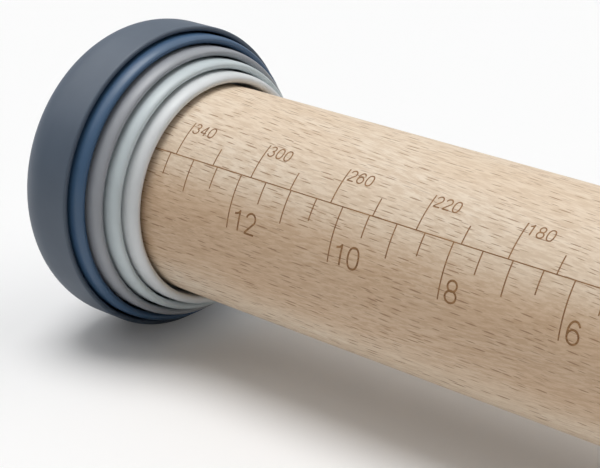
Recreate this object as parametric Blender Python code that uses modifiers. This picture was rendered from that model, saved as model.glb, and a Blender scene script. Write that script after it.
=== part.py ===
"""Adjustable rolling pin: a wooden roller with five nested spacer discs and a screw knob at each end.

Run with: blender --background --python part.py

The pin lies along world X. Each end is modelled about its own local Z axis, which points outboard
from the middle of the pin, so both ends share the same profiles and the same right-hand thread.
"""

import math

import bmesh
import bpy
import numpy as np

MM = 0.001

# Roller
ROLLER_RADIUS = 21.2 * MM
ROLLER_LENGTH = 366.4 * MM
ROLLER_EDGE_CHAMFER = 0.8 * MM
DRILL_SPARE = 1.5 * MM

# Spacer discs, smallest first
SMALL_DISC_COUNT = 4
DISC_WALL = 1.7 * MM
SKIRT_REACH = 8.6 * MM
WEB_THICKNESS = 2.7 * MM
RIM_ROUND_LENGTH = 2.0 * MM
RIM_INNER_ROUND = 0.5 * MM
DISC_EDGE_CHAMFER = 0.8 * MM

# End disc, the largest
END_DISC_WALL = 1.2 * MM
END_DISC_HEIGHT = 5.9 * MM
END_DISC_EDGE_ROUND = 9.9 * MM
END_DISC_RIM_ROUND_LENGTH = 1.3 * MM
RECESS_EDGE_CHAMFER = 0.6 * MM
RECESS_LAND = 1.0 * MM

# Knob
KNOB_RIM_WIDTH = 7.4 * MM
KNOB_HEIGHT = 9.0 * MM
KNOB_EDGE_ROUND = 3.2 * MM
KNOB_BASE_CHAMFER = 0.6 * MM
GRIP_SCALLOPS = 8
GRIP_SCALLOP_DEPTH = 0.9 * MM
CAP_SEAT_WIDTH = 1.2 * MM
CAP_THICKNESS = 1.6 * MM
CAP_EDGE_CHAMFER = 0.4 * MM
CAP_PROUD = 0.4 * MM

# Stud, washer and threaded insert
STUD_RADIUS = 5.0 * MM
STUD_HEAD_SHOULDER = 2.5 * MM
STUD_HEAD_HEIGHT = 4.0 * MM
STUD_TIP_CHAMFER = 1.2 * MM
THREAD_PITCH = 4.0 * MM
THREAD_LENGTH = 24.0 * MM
THREAD_DEPTH = 1.0 * MM
THREAD_RUNOUT = 2.0 * MM
WASHER_WIDTH = 7.6 * MM
WASHER_THICKNESS = 1.2 * MM
INSERT_WALL = 2.1 * MM
INSERT_LENGTH = 28.0 * MM
INSERT_FLANGE_WIDTH = 2.0 * MM
INSERT_FLANGE_THICKNESS = 2.0 * MM
INSERT_MOUTH_CHAMFER = 0.8 * MM

# Clearances
ROLLER_TO_DISC_CLEARANCE = 0.9 * MM
DISC_TO_DISC_CLEARANCE = 0.3 * MM
RECESS_CLEARANCE = 0.6 * MM
FACE_CLEARANCE = 0.3 * MM
STUD_CLEARANCE = 0.4 * MM
INSERT_CLEARANCE = 0.4 * MM
CAP_CLEARANCE = 0.4 * MM
HEAD_CLEARANCE = 0.3 * MM
CUT_OVERRUN = 1.0 * MM

# Facets and arc steps, as counts
ROLLER_SEGMENTS = 40
DISC_SEGMENTS = 36
KNOB_SEGMENTS = 40
SMALL_SEGMENTS = 20
STUD_SEGMENTS = 16
STATIONS_PER_PITCH = 5
RIM_STEPS = 3
EDGE_STEPS = 5

# Radii that follow
STUD_HOLE_RADIUS = STUD_RADIUS + STUD_CLEARANCE
STUD_HEAD_FLATS = 2 * (STUD_RADIUS + STUD_HEAD_SHOULDER)
HEAD_POCKET_FLATS = STUD_HEAD_FLATS + 2 * HEAD_CLEARANCE
CAP_SEAT_RADIUS = HEAD_POCKET_FLATS / math.sqrt(3) + CAP_SEAT_WIDTH
CAP_RADIUS = CAP_SEAT_RADIUS - CAP_CLEARANCE
KNOB_RADIUS = CAP_SEAT_RADIUS + KNOB_RIM_WIDTH
RECESS_RADIUS = KNOB_RADIUS + RECESS_CLEARANCE
WASHER_RADIUS = STUD_HOLE_RADIUS + WASHER_WIDTH
INSERT_BORE_RADIUS = STUD_RADIUS + STUD_CLEARANCE
INSERT_RADIUS = INSERT_BORE_RADIUS + INSERT_WALL
INSERT_FLANGE_RADIUS = INSERT_RADIUS + INSERT_FLANGE_WIDTH
INSERT_POCKET_RADIUS = INSERT_RADIUS + INSERT_CLEARANCE
FLANGE_POCKET_RADIUS = INSERT_FLANGE_RADIUS + INSERT_CLEARANCE
FIRST_DISC_BORE = ROLLER_RADIUS + ROLLER_TO_DISC_CLEARANCE
END_DISC_BORE = FIRST_DISC_BORE + SMALL_DISC_COUNT * (DISC_WALL + DISC_TO_DISC_CLEARANCE)
END_DISC_RADIUS = END_DISC_BORE + END_DISC_WALL

# Places that follow, measured outboard from the middle of the pin
DISC_COUNT = SMALL_DISC_COUNT + 1
DISC_PITCH = WEB_THICKNESS + FACE_CLEARANCE
ROLLER_END = ROLLER_LENGTH / 2
FIRST_RIM = ROLLER_END - SKIRT_REACH
FIRST_WEB = ROLLER_END + FACE_CLEARANCE
END_RIM = FIRST_RIM + SMALL_DISC_COUNT * DISC_PITCH
END_WEB = FIRST_WEB + SMALL_DISC_COUNT * DISC_PITCH
END_WEB_OUTER = END_WEB + WEB_THICKNESS
END_DISC_FACE = END_WEB_OUTER + END_DISC_HEIGHT
WASHER_BASE = END_WEB_OUTER + FACE_CLEARANCE
KNOB_BASE = WASHER_BASE + WASHER_THICKNESS + FACE_CLEARANCE
KNOB_FACE = KNOB_BASE + KNOB_HEIGHT
CAP_FACE = KNOB_FACE + CAP_PROUD
CAP_BASE = CAP_FACE - CAP_THICKNESS
CAP_SEAT = CAP_BASE - FACE_CLEARANCE
HEAD_TOP = CAP_SEAT - HEAD_CLEARANCE
HEAD_BASE = HEAD_TOP - STUD_HEAD_HEIGHT
HEAD_POCKET_FLOOR = HEAD_BASE - HEAD_CLEARANCE
INSERT_BASE = ROLLER_END - INSERT_LENGTH
THREAD_START = ROLLER_END + THREAD_RUNOUT
THREAD_END = THREAD_START - THREAD_LENGTH
STUD_TIP = THREAD_END - STUD_TIP_CHAMFER
DRILL_BOTTOM = STUD_TIP - DISC_COUNT * DISC_PITCH - DRILL_SPARE

# Colour, roughness and metallic value of each finish
FINISHES = {
    "beech": ((0.74, 0.58, 0.42), 0.55, 0.0),
    "off_white_plastic": ((0.74, 0.77, 0.77), 0.45, 0.0),
    "mint_plastic": ((0.60, 0.67, 0.65), 0.45, 0.0),
    "grey_plastic": ((0.36, 0.37, 0.38), 0.45, 0.0),
    "blue_plastic": ((0.07, 0.14, 0.24), 0.45, 0.0),
    "slate_plastic": ((0.055, 0.075, 0.10), 0.5, 0.0),
    "nylon": ((0.70, 0.70, 0.66), 0.5, 0.0),
    "plated_steel": ((0.62, 0.62, 0.60), 0.3, 1.0),
    "brass": ((0.70, 0.52, 0.22), 0.35, 1.0),
}
DISC_FINISHES = ("off_white_plastic", "mint_plastic", "grey_plastic", "blue_plastic", "slate_plastic")


def remove_startup_objects():
    """Empties the scene of every object that it opened with."""
    for obj in list(bpy.data.objects):
        bpy.data.objects.remove(obj, do_unlink=True)


def new_collection(name):
    """Makes a collection in the scene."""
    collection = bpy.data.collections.new(name)
    bpy.context.scene.collection.children.link(collection)
    return collection


def make_materials():
    """Makes one Principled material for each finish."""
    made = {}
    for name, (colour, roughness, metallic) in FINISHES.items():
        material = bpy.data.materials.new(name)
        material.use_nodes = True
        shader = material.node_tree.nodes["Principled BSDF"]
        shader.inputs["Base Color"].default_value = (*colour, 1.0)
        shader.inputs["Roughness"].default_value = roughness
        shader.inputs["Metallic"].default_value = metallic
        material.diffuse_color = (*colour, 1.0)
        made[name] = material
    return made


def axis_empty(name, turn, collection):
    """Makes an empty on the pin's axis, at the middle, whose local Z lies along the pin."""
    empty = bpy.data.objects.new(name, None)
    empty.location = (0, 0, END_DISC_RADIUS)
    empty.rotation_euler = (0, turn, 0)
    collection.objects.link(empty)
    return empty


def quarter(centre, radii, start, steps):
    """Points of a quarter ellipse in (radius, height), turning clockwise from a start in quarter turns."""
    points = []
    for step in range(steps + 1):
        angle = (start - step / steps) * math.pi / 2
        points.append((centre[0] + radii[0] * math.cos(angle), centre[1] + radii[1] * math.sin(angle)))
    return points


def profile_mesh(name, profile, segments, closed):
    """Makes the edge chain that a Screw modifier turns.

    The chain stands half a facet round from X, and is pushed out so that the middle of each facet,
    and not its corner, lies at the radius given. A facet then faces straight down.
    """
    lean = math.tan(math.pi / segments)
    points = [(radius, radius * lean, height) for radius, height in profile]
    edges = [(index, index + 1) for index in range(len(points) - 1)]
    if closed:
        edges.append((len(points) - 1, 0))
    mesh = bpy.data.meshes.new(name)
    mesh.from_pydata(points, edges, [])
    return mesh


def turned(name, profile, segments, closed, material, collection, parent=None):
    """Makes an object by turning a profile once about its local Z with a Screw modifier, then applies it."""
    mesh = profile_mesh(name + "_profile", profile, segments, closed)
    mesh.materials.append(material)
    obj = bpy.data.objects.new(name, mesh)
    collection.objects.link(obj)
    obj.parent = parent
    screw = obj.modifiers.new("turn", "SCREW")
    screw.steps = segments
    screw.render_steps = segments
    screw.use_merge_vertices = True
    screw.merge_threshold = CUT_OVERRUN / 100
    bpy.context.view_layer.update()
    graph = bpy.context.evaluated_depsgraph_get()
    obj.data = bpy.data.meshes.new_from_object(obj.evaluated_get(graph))
    obj.data.name = name
    obj.modifiers.clear()
    bpy.data.meshes.remove(mesh)
    shade(obj)
    return obj


def shade(obj):
    """Shades a mesh smooth, with its sharp edges kept."""
    obj.data.shade_smooth()
    obj.data.set_sharp_from_angle(angle=math.radians(35))


def reshaped(obj, rule):
    """Moves the vertices of a turned piece in or out: rule gives each one's radius factor."""
    mesh = obj.data
    points = np.empty(len(mesh.vertices) * 3)
    mesh.vertices.foreach_get("co", points)
    points = points.reshape(-1, 3)
    radius = np.hypot(points[:, 0], points[:, 1])
    angle = np.arctan2(points[:, 1], points[:, 0])
    points[:, :2] *= rule(radius, angle, points[:, 2])[:, None]
    mesh.vertices.foreach_set("co", points.ravel())
    mesh.update()
    return obj


def hex_prism(name, flats, base, top, collection, parent):
    """Makes a hexagonal prism about the local Z, a helper for a Boolean."""
    mesh = bpy.data.meshes.new(name)
    shape = bmesh.new()
    corner_radius = flats / math.sqrt(3)
    bmesh.ops.create_cone(
        shape, cap_ends=True, segments=6, radius1=corner_radius, radius2=corner_radius, depth=top - base
    )
    bmesh.ops.translate(shape, verts=shape.verts, vec=(0, 0, (top + base) / 2))
    shape.to_mesh(mesh)
    shape.free()
    obj = bpy.data.objects.new(name, mesh)
    collection.objects.link(obj)
    obj.parent = parent
    obj.hide_render = True
    obj.display_type = "WIRE"
    return obj


def boolean(obj, helper, operation):
    """Adds a Boolean modifier to an object."""
    modifier = obj.modifiers.new(helper.name, "BOOLEAN")
    modifier.operation = operation
    modifier.solver = "EXACT"
    modifier.object = helper


def roller_profile():
    """Outline of the roller: a long cylinder, drilled from each end for its threaded insert."""
    half = [
        (0, DRILL_BOTTOM),
        (INSERT_BORE_RADIUS, DRILL_BOTTOM),
        (INSERT_BORE_RADIUS, INSERT_BASE - FACE_CLEARANCE),
        (INSERT_POCKET_RADIUS, INSERT_BASE - FACE_CLEARANCE),
        (INSERT_POCKET_RADIUS, ROLLER_END - INSERT_FLANGE_THICKNESS - FACE_CLEARANCE),
        (FLANGE_POCKET_RADIUS, ROLLER_END - INSERT_FLANGE_THICKNESS - FACE_CLEARANCE),
        (FLANGE_POCKET_RADIUS, ROLLER_END),
        (ROLLER_RADIUS - ROLLER_EDGE_CHAMFER, ROLLER_END),
        (ROLLER_RADIUS, ROLLER_END - ROLLER_EDGE_CHAMFER),
    ]
    return half + [(radius, -height) for radius, height in reversed(half)]


def insert_profile():
    """Outline of the threaded insert: a tube with a flange, flush with the roller's end."""
    flange_base = ROLLER_END - INSERT_FLANGE_THICKNESS
    return [
        (INSERT_BORE_RADIUS + INSERT_MOUTH_CHAMFER, ROLLER_END),
        (INSERT_FLANGE_RADIUS, ROLLER_END),
        (INSERT_FLANGE_RADIUS, flange_base),
        (INSERT_RADIUS, flange_base),
        (INSERT_RADIUS, INSERT_BASE),
        (INSERT_BORE_RADIUS, INSERT_BASE),
        (INSERT_BORE_RADIUS, ROLLER_END - INSERT_MOUTH_CHAMFER),
    ]


def disc_bore(index):
    """Inner radius of a disc's skirt, which slips over the disc inside it, or over the roller."""
    return FIRST_DISC_BORE + index * (DISC_WALL + DISC_TO_DISC_CLEARANCE)


def rim_outline(outer, inner, rim, length):
    """Rounded inboard edge of a skirt: a long soft quarter outside and a small one inside."""
    inner_round = min(RIM_INNER_ROUND, (outer - inner) / 2)
    depth = outer - inner - inner_round
    outside = quarter((outer - depth, rim + length), (depth, length), 0, RIM_STEPS)
    inside = quarter((inner + inner_round, rim + inner_round), (inner_round, inner_round), -1, RIM_STEPS - 1)
    return outside + inside[1:]


def small_disc_profile(index):
    """Outline of a small spacer disc: a cup whose skirt points inboard and whose web has a stud hole."""
    inner = disc_bore(index)
    outer = inner + DISC_WALL
    rim = FIRST_RIM + index * DISC_PITCH
    web = FIRST_WEB + index * DISC_PITCH
    face = web + WEB_THICKNESS
    return [
        (STUD_HOLE_RADIUS, face),
        (outer - DISC_EDGE_CHAMFER, face),
        (outer, face - DISC_EDGE_CHAMFER),
        *rim_outline(outer, inner, rim, RIM_ROUND_LENGTH),
        (inner, web),
        (STUD_HOLE_RADIUS, web),
    ]


def end_disc_profile():
    """Outline of the end disc: a deeper cup with a large round outboard edge and a recess for the knob."""
    land_radius = RECESS_RADIUS + RECESS_EDGE_CHAMFER + RECESS_LAND
    edge_round = min(END_DISC_EDGE_ROUND, END_DISC_RADIUS - land_radius)
    round_centre = (END_DISC_RADIUS - edge_round, END_DISC_FACE - edge_round)
    return [
        (STUD_HOLE_RADIUS, END_WEB_OUTER),
        (RECESS_RADIUS, END_WEB_OUTER),
        (RECESS_RADIUS, END_DISC_FACE - RECESS_EDGE_CHAMFER),
        (RECESS_RADIUS + RECESS_EDGE_CHAMFER, END_DISC_FACE),
        *quarter(round_centre, (edge_round, edge_round), 1, EDGE_STEPS),
        *rim_outline(END_DISC_RADIUS, END_DISC_BORE, END_RIM, END_DISC_RIM_ROUND_LENGTH),
        (END_DISC_BORE, END_WEB),
        (STUD_HOLE_RADIUS, END_WEB),
    ]


def washer_profile():
    """Outline of the thrust washer between the end disc and the knob."""
    top = WASHER_BASE + WASHER_THICKNESS
    return [
        (STUD_HOLE_RADIUS, top),
        (WASHER_RADIUS, top),
        (WASHER_RADIUS, WASHER_BASE),
        (STUD_HOLE_RADIUS, WASHER_BASE),
    ]


def knob_profile():
    """Outline of the knob: a round-edged button with a stud hole and a seat for its cap."""
    edge_round = min(KNOB_EDGE_ROUND, KNOB_RIM_WIDTH / 2, KNOB_HEIGHT / 2)
    round_centre = (KNOB_RADIUS - edge_round, KNOB_FACE - edge_round)
    return [
        (CAP_SEAT_RADIUS, KNOB_FACE),
        *quarter(round_centre, (edge_round, edge_round), 1, RIM_STEPS),
        (KNOB_RADIUS, KNOB_BASE + KNOB_BASE_CHAMFER),
        (KNOB_RADIUS - KNOB_BASE_CHAMFER, KNOB_BASE),
        (STUD_HOLE_RADIUS, KNOB_BASE),
        (STUD_HOLE_RADIUS, CAP_SEAT),
        (CAP_SEAT_RADIUS, CAP_SEAT),
    ]


def cap_profile():
    """Outline of the cap that covers the stud's head."""
    return [
        (0, CAP_FACE),
        (CAP_RADIUS - CAP_EDGE_CHAMFER, CAP_FACE),
        (CAP_RADIUS, CAP_FACE - CAP_EDGE_CHAMFER),
        (CAP_RADIUS, CAP_BASE),
        (0, CAP_BASE),
    ]


def stud_profile():
    """Outline of the stud from under its head to its tip, with stations along the threaded stretch."""
    station_count = round(THREAD_LENGTH / THREAD_PITCH * STATIONS_PER_PITCH)
    stations = [THREAD_START - THREAD_LENGTH * step / station_count for step in range(station_count + 1)]
    neck = (HEAD_BASE + HEAD_TOP) / 2
    return [
        (0, neck),
        (STUD_RADIUS, neck),
        *[(STUD_RADIUS, station) for station in stations],
        (STUD_RADIUS - STUD_TIP_CHAMFER, STUD_TIP),
        (0, STUD_TIP),
    ]


def thread_rule(radius, angle, height):
    """Rounded right-hand thread: the radius dips as a cosine of height less the angle's share of a pitch."""
    phase = height / THREAD_PITCH - angle / (2 * math.pi)
    wave = (1 - np.cos(2 * math.pi * phase)) / 2
    fade = np.clip(np.minimum(THREAD_START - height, height - THREAD_END) / THREAD_RUNOUT, 0, 1)
    return 1 - THREAD_DEPTH / STUD_RADIUS * wave * fade


def grip_rule(radius, angle, height):
    """Finger scallops round the knob's rim: a raised cosine of the angle, faded out below the end disc."""
    wave = (1 + np.cos(GRIP_SCALLOPS * angle)) / 2
    outside = radius > CAP_SEAT_RADIUS + KNOB_RIM_WIDTH / 2
    fade = np.clip((height - END_DISC_FACE) / (KNOB_FACE - KNOB_EDGE_ROUND - END_DISC_FACE), 0, 1)
    return 1 - GRIP_SCALLOP_DEPTH / KNOB_RADIUS * wave * fade * outside


def make_stud(name, materials, pieces, helpers, parent):
    """Makes the stud: a threaded shank with a hexagonal head."""
    stud = turned(name, stud_profile(), STUD_SEGMENTS, False, materials["plated_steel"], pieces, parent)
    reshaped(stud, thread_rule)
    head = hex_prism(name + "_head", STUD_HEAD_FLATS, HEAD_BASE, HEAD_TOP, helpers, parent)
    boolean(stud, head, "UNION")


def make_knob(name, materials, pieces, helpers, parent):
    """Makes the knob, with finger scallops and a hexagonal pocket for the stud's head."""
    knob = turned(name, knob_profile(), KNOB_SEGMENTS, True, materials["slate_plastic"], pieces, parent)
    reshaped(knob, grip_rule)
    pocket_top = CAP_SEAT + CUT_OVERRUN
    pocket = hex_prism(name + "_pocket", HEAD_POCKET_FLATS, HEAD_POCKET_FLOOR, pocket_top, helpers, parent)
    boolean(knob, pocket, "DIFFERENCE")


def make_end(side, turn, materials, pieces, helpers):
    """Makes everything at one end of the roller."""
    axis = axis_empty(side + "_end_axis", turn, pieces)
    insert = side + "_threaded_insert"
    turned(insert, insert_profile(), SMALL_SEGMENTS, True, materials["brass"], pieces, axis)
    for index in range(DISC_COUNT):
        profile = end_disc_profile() if index == SMALL_DISC_COUNT else small_disc_profile(index)
        finish = materials[DISC_FINISHES[index]]
        turned(f"{side}_disc_{index + 1}", profile, DISC_SEGMENTS, True, finish, pieces, axis)
    washer = side + "_thrust_washer"
    turned(washer, washer_profile(), SMALL_SEGMENTS, True, materials["nylon"], pieces, axis)
    make_knob(side + "_knob", materials, pieces, helpers, axis)
    make_stud(side + "_knob_stud", materials, pieces, helpers, axis)
    cap = side + "_knob_cap"
    turned(cap, cap_profile(), SMALL_SEGMENTS, False, materials["slate_plastic"], pieces, axis)


def main():
    """Builds the whole pin."""
    remove_startup_objects()
    pieces = new_collection("adjustable_rolling_pin")
    helpers = new_collection("cutters")
    materials = make_materials()
    axis = axis_empty("roller_axis", math.pi / 2, pieces)
    turned("roller_body", roller_profile(), ROLLER_SEGMENTS, False, materials["beech"], pieces, axis)
    make_end("left", -math.pi / 2, materials, pieces, helpers)
    make_end("right", math.pi / 2, materials, pieces, helpers)


main()
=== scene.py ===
"""Adjustable rolling pin: the fine surface and the finish of every piece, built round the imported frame.

It is laid out as an add-on and run as a script. Lengths are metres. The pin lies along X, and each end
is worked out about an axis of its own, whose Z points outboard from the middle of the pin.
"""

import math

import bpy
import numpy as np
from bpy.props import FloatProperty, FloatVectorProperty, IntProperty, PointerProperty
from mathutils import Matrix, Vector


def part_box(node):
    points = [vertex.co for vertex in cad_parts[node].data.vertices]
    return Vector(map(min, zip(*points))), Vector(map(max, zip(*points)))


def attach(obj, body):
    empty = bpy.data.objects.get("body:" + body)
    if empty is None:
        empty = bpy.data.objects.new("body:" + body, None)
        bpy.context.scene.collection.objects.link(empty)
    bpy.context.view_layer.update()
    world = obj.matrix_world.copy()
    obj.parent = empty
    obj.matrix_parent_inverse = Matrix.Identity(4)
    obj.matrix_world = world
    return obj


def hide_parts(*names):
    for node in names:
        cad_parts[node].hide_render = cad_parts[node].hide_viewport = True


bl_info = {
    "name": "Adjustable Rolling Pin",
    "version": (1, 0, 0),
    "blender": (4, 5, 0),
    "location": "View3D > Sidebar > Rolling Pin",
    "description": "Builds a wooden rolling pin with nested spacer discs and a screw knob at each end",
    "category": "Add Mesh",
}

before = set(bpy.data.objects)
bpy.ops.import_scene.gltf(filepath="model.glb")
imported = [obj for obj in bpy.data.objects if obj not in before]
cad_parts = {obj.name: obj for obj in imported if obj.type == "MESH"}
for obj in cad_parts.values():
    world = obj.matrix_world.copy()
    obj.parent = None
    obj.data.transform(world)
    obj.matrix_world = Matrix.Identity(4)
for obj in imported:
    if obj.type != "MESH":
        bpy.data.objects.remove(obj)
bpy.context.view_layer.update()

MM = 0.001
TAU = 2 * math.pi
SIDES = ("left", "right")
DISC_FINISHES = ("off_white_plastic", "mint_plastic", "grey_plastic", "blue_plastic", "slate_plastic")
END_DISC = f"disc_{len(DISC_FINISHES)}"
ROLLER_LOW, ROLLER_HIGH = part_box("roller_body")
ROLLER_END = ROLLER_HIGH.x
ROLLER_RADIUS = (ROLLER_HIGH.z - ROLLER_LOW.z) / 2
AXIS_HEIGHT = (ROLLER_HIGH.z + ROLLER_LOW.z) / 2

# Segments round the axis, and the longest step along the outline
ROLLER_FINENESS = (240, 6 * MM)
DISC_FINENESS = (240, 2 * MM)
KNOB_FINENESS = (240, 1 * MM)
SMALL_FINENESS = (96, 1 * MM)
INSERT_FINENESS = (96, 0.4 * MM)
STUD_FINENESS = (96, 0.25 * MM)
MARK_STEP = 0.4 * MM
SHARP_ANGLE = math.radians(32)

# Steps in a corner's round and in a long arc, and the most of either side that a round may take
ROUND_STEPS = 6
ARC_STEPS = 24
ROUND_SHARE = 0.48

# Radius of a closed end's first ring, as a share of the piece's own
POLE_SHARE = 0.25
CAP_POLE_SHARE = 0.125

HALF_HEX = TAU / 12


def turned_size(piece):
    """The inboard end, outboard end and radius of a turned node that both ends of the pin have."""
    low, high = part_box("right_" + piece)
    return low.x, high.x, (high.z - low.z) / 2


# Properties


def length(name, description, value):
    """A length, given in millimetres and kept in metres."""
    return FloatProperty(
        name=name, description=description, default=value * MM, min=0, unit="LENGTH", precision=5
    )


def angle(name, description, value):
    """An angle, given in degrees and kept in radians."""
    return FloatProperty(name=name, description=description, default=math.radians(value), subtype="ANGLE")


def amount(name, description, value):
    """A plain number, not below zero."""
    return FloatProperty(name=name, description=description, default=value, min=0)


def colour(name, description, value):
    """A linear colour."""
    return FloatVectorProperty(
        name=name, description=description, default=value, size=3, min=0, max=1, subtype="COLOR"
    )


class PinSizes(bpy.types.PropertyGroup):
    """Sizes of the pieces that the frame's boxes don't give."""

    roller_edge_round: length("Roller edge", "Round on the roller's end edges", 0.8)
    drill_depth: length("Drill depth", "Depth of the hole for the stud", 39.7)
    first_disc_wall: length("First disc wall", "Wall of the first disc's skirt", 1.85)
    disc_wall: length("Disc wall", "Wall of each other small disc's skirt", 1.6)
    web_thickness: length("Web", "Thickness of a disc's web", 2.7)
    rim_round_length: length("Rim round", "Length of the round on a small disc's rim", 2.0)
    rim_inner_round: length("Rim inner round", "Small round inside each rim", 0.8)
    disc_edge_round: length("Disc edge", "Round on a small disc's outboard edge", 0.8)
    end_disc_wall: length("End disc wall", "Wall of the end disc's skirt", 1.1)
    end_disc_rim_round: length("End disc rim", "Length of the round on the end disc's rim", 0.5)
    end_disc_edge_round: length("End disc edge", "Round on the end disc's outboard edge", 9.9)
    recess_edge_round: length("Recess edge", "Round on the edge of the knob's recess", 0.6)
    recess_clearance: length("Recess clearance", "Gap between the knob and its recess", 0.6)
    face_clearance: length("Face clearance", "Gap between stacked faces", 0.3)
    stud_radius: length("Stud radius", "Outer radius of the stud's thread", 5.0)
    stud_clearance: length("Stud clearance", "Gap round the stud in each hole", 0.4)
    head_flats: length("Head flats", "Width across the flats of the stud's head", 15.0)
    head_height: length("Head height", "Height of the stud's head", 4.0)
    head_chamfer: length("Head chamfer", "Height of the chamfer on the stud's head", 0.5)
    head_clearance: length("Head clearance", "Gap round the stud's head", 0.3)
    tip_chamfer: length("Tip chamfer", "Chamfer at the stud's tip", 1.2)
    thread_pitch: length("Thread pitch", "Rise of the thread in one turn", 4.0)
    thread_length: length("Thread length", "Length of the thread", 24.0)
    thread_depth: length("Thread depth", "Depth of the thread", 1.0)
    thread_runout: length("Thread runout", "Length over which the thread fades", 2.0)
    knob_edge_round: length("Knob edge", "Round on the knob's outboard edge", 3.2)
    knob_base_round: length("Knob base", "Round on the knob's inboard edge", 0.6)
    scallop_depth: length("Scallop depth", "Depth of the knob's finger scallops", 0.9)
    scallops: IntProperty(name="Scallops", description="Finger scallops round the knob", default=8, min=0)
    cap_clearance: length("Cap clearance", "Gap round the knob's cap", 0.4)
    cap_edge_round: length("Cap edge", "Round on the cap's edge", 0.4)
    insert_wall: length("Insert wall", "Wall of the threaded insert", 2.1)
    insert_flange: length("Insert flange", "Thickness of the insert's flange", 2.0)
    insert_clearance: length("Insert clearance", "Gap between the insert and the wood", 0.4)
    insert_mouth: length("Insert mouth", "Round at the insert's mouth", 0.8)
    insert_thread_depth: length("Insert thread", "Depth of the insert's thread", 0.8)
    small_round: length("Small round", "Round on small edges", 0.25)


class ScaleSizes(bpy.types.PropertyGroup):
    """Sizes of the burnt scale, which counts widths: half to each side of the middle."""

    base_angle: angle("Base line angle", "Place of the base line, from +Y over the top", 142.35)
    line_reach: length("Line reach", "How far the base line runs from the middle", 177.8)
    base_width: length("Base line width", "Width of the base line", 0.2)
    tick_width: length("Tick width", "Width of the ticks", 0.26)
    burn_depth: length("Burn depth", "Depth of the burnt marks", 0.25)
    burn_lip: length("Burn lip", "Height of the burnt marks above the wood", 0.02)
    layer_step: length("Layer step", "Height between strokes that cross", 0.004)
    metric_step: length("Metric step", "Width from one metric mark to the next", 20)
    metric_widest: length("Widest metric mark", "Width that the last metric mark stands for", 340)
    metric_long: length("Long metric tick", "Height of a numbered metric tick", 7.4)
    metric_short: length("Short metric tick", "Height of a plain metric tick", 3.6)
    metric_height: length("Metric figure", "Height of the metric figures", 2.5)
    metric_foot: length("Metric foot", "Foot of the metric figures above the base line", 4.95)
    metric_gap: length("Metric gap", "Gap between a metric tick and its figures", 0.55)
    metric_pitch: length("Metric pitch", "Distance from one metric figure to the next", 2.0)
    metric_stroke: length("Metric stroke", "Stroke of the metric figures", 0.27)
    inch: length("Inch", "One inch", 25.4)
    widest_inches: amount("Widest inch mark", "Width that the last inch mark stands for, in inches", 13.5)
    inch_long: length("Long inch tick", "Depth of a numbered inch tick", 10.3)
    inch_middle: length("Middle inch tick", "Depth of an odd inch tick", 6.4)
    inch_short: length("Half inch tick", "Depth of a half inch tick", 4.35)
    inch_height: length("Inch figure", "Height of the inch figures", 4.25)
    inch_foot: length("Inch foot", "Foot of the inch figures below the base line", 10.4)
    inch_gap: length("Inch gap", "Gap between an inch tick and its figures", 1.2)
    inch_pitch: length("Inch pitch", "Distance from one inch figure to the next", 3.1)
    inch_stroke: length("Inch stroke", "Stroke of the inch figures", 0.38)


class PinColours(bpy.types.PropertyGroup):
    """Colours of the finishes."""

    beech_pale: colour("Pale beech", "Paler tone of the wood", (0.785, 0.67, 0.535))
    beech_warm: colour("Warm beech", "Warmer tone of the wood", (0.755, 0.62, 0.475))
    beech_late: colour("Late wood", "Darker bands and fibres", (0.60, 0.45, 0.31))
    # Painted shade: the darker, warmer tint laid on the wood's side towards -Y
    beech_heart: colour("Painted shade tint", "Tint of the wood on its darker side", (0.86, 0.75, 0.65))
    beech_fleck: colour("Fleck", "Short dark rays in the wood", (0.28, 0.15, 0.07))
    burn_dark: colour("Dark burn", "Deepest tone of the burnt marks", (0.195, 0.087, 0.027))
    burn_pale: colour("Pale burn", "Palest tone of the burnt marks", (0.37, 0.20, 0.083))
    off_white: colour("Off-white", "First disc", (0.725, 0.75, 0.76))
    mint: colour("Mint", "Second disc", (0.57, 0.637, 0.657))
    grey: colour("Grey", "Third disc", (0.322, 0.337, 0.365))
    blue: colour("Blue", "Fourth disc", (0.046, 0.103, 0.193))
    slate: colour("Slate", "End disc, knob and cap", (0.066, 0.091, 0.128))
    nylon: colour("Nylon", "Thrust washers", (0.72, 0.71, 0.66))
    steel: colour("Steel", "Studs", (0.62, 0.62, 0.60))
    brass: colour("Brass", "Threaded inserts", (0.72, 0.52, 0.24))
    paper: colour("Paper", "Floor", (0.905, 0.905, 0.905))


class StageSettings(bpy.types.PropertyGroup):
    """Camera, floor and light."""

    camera_place: FloatVectorProperty(
        name="Camera place", description="Where the camera stands", size=3, subtype="XYZ", unit="LENGTH",
        default=(0.101946, -0.271372, 0.169046)
    )
    camera_yaw: angle("Camera yaw", "Heading of the camera, from +X towards +Y", 133.246)
    camera_pitch: angle("Camera pitch", "How far the camera looks down", 20.791)
    camera_lens: amount("Lens", "Focal length in mm", 122.909)
    camera_sensor: amount("Sensor", "Sensor width in mm", 36)
    floor_side: length("Floor side", "Side of the square floor", 8000)
    floor_white: amount("Floor white", "Share of plain white that the camera sees on the floor", 0.05)
    sky_level: amount("Sky level", "Strength of the even light", 0.1)
    top_level: amount("Top level", "Strength of the light from above", 1.9)
    left_level: amount("Left level", "Strength of the end light", 0.78)
    right_level: amount("Right level", "Strength of the back light", 0.8)


# Outlines and surfaces


def arc(centre, radii, start, end, steps):
    """Points of an ellipse: the centre plus each radius times the cosine or sine of an angle in degrees."""
    turn = np.radians(np.linspace(start, end, steps + 1))
    return np.stack([centre[0] + radii[0] * np.cos(turn), centre[1] + radii[1] * np.sin(turn)], axis=-1)


def smooth_share(low, high, value):
    """Goes from 0 at low to 1 at high: three squares less two cubes of the share between them."""
    share = np.clip((value - low) / (high - low), 0, 1)
    return share * share * (3 - 2 * share)


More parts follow.
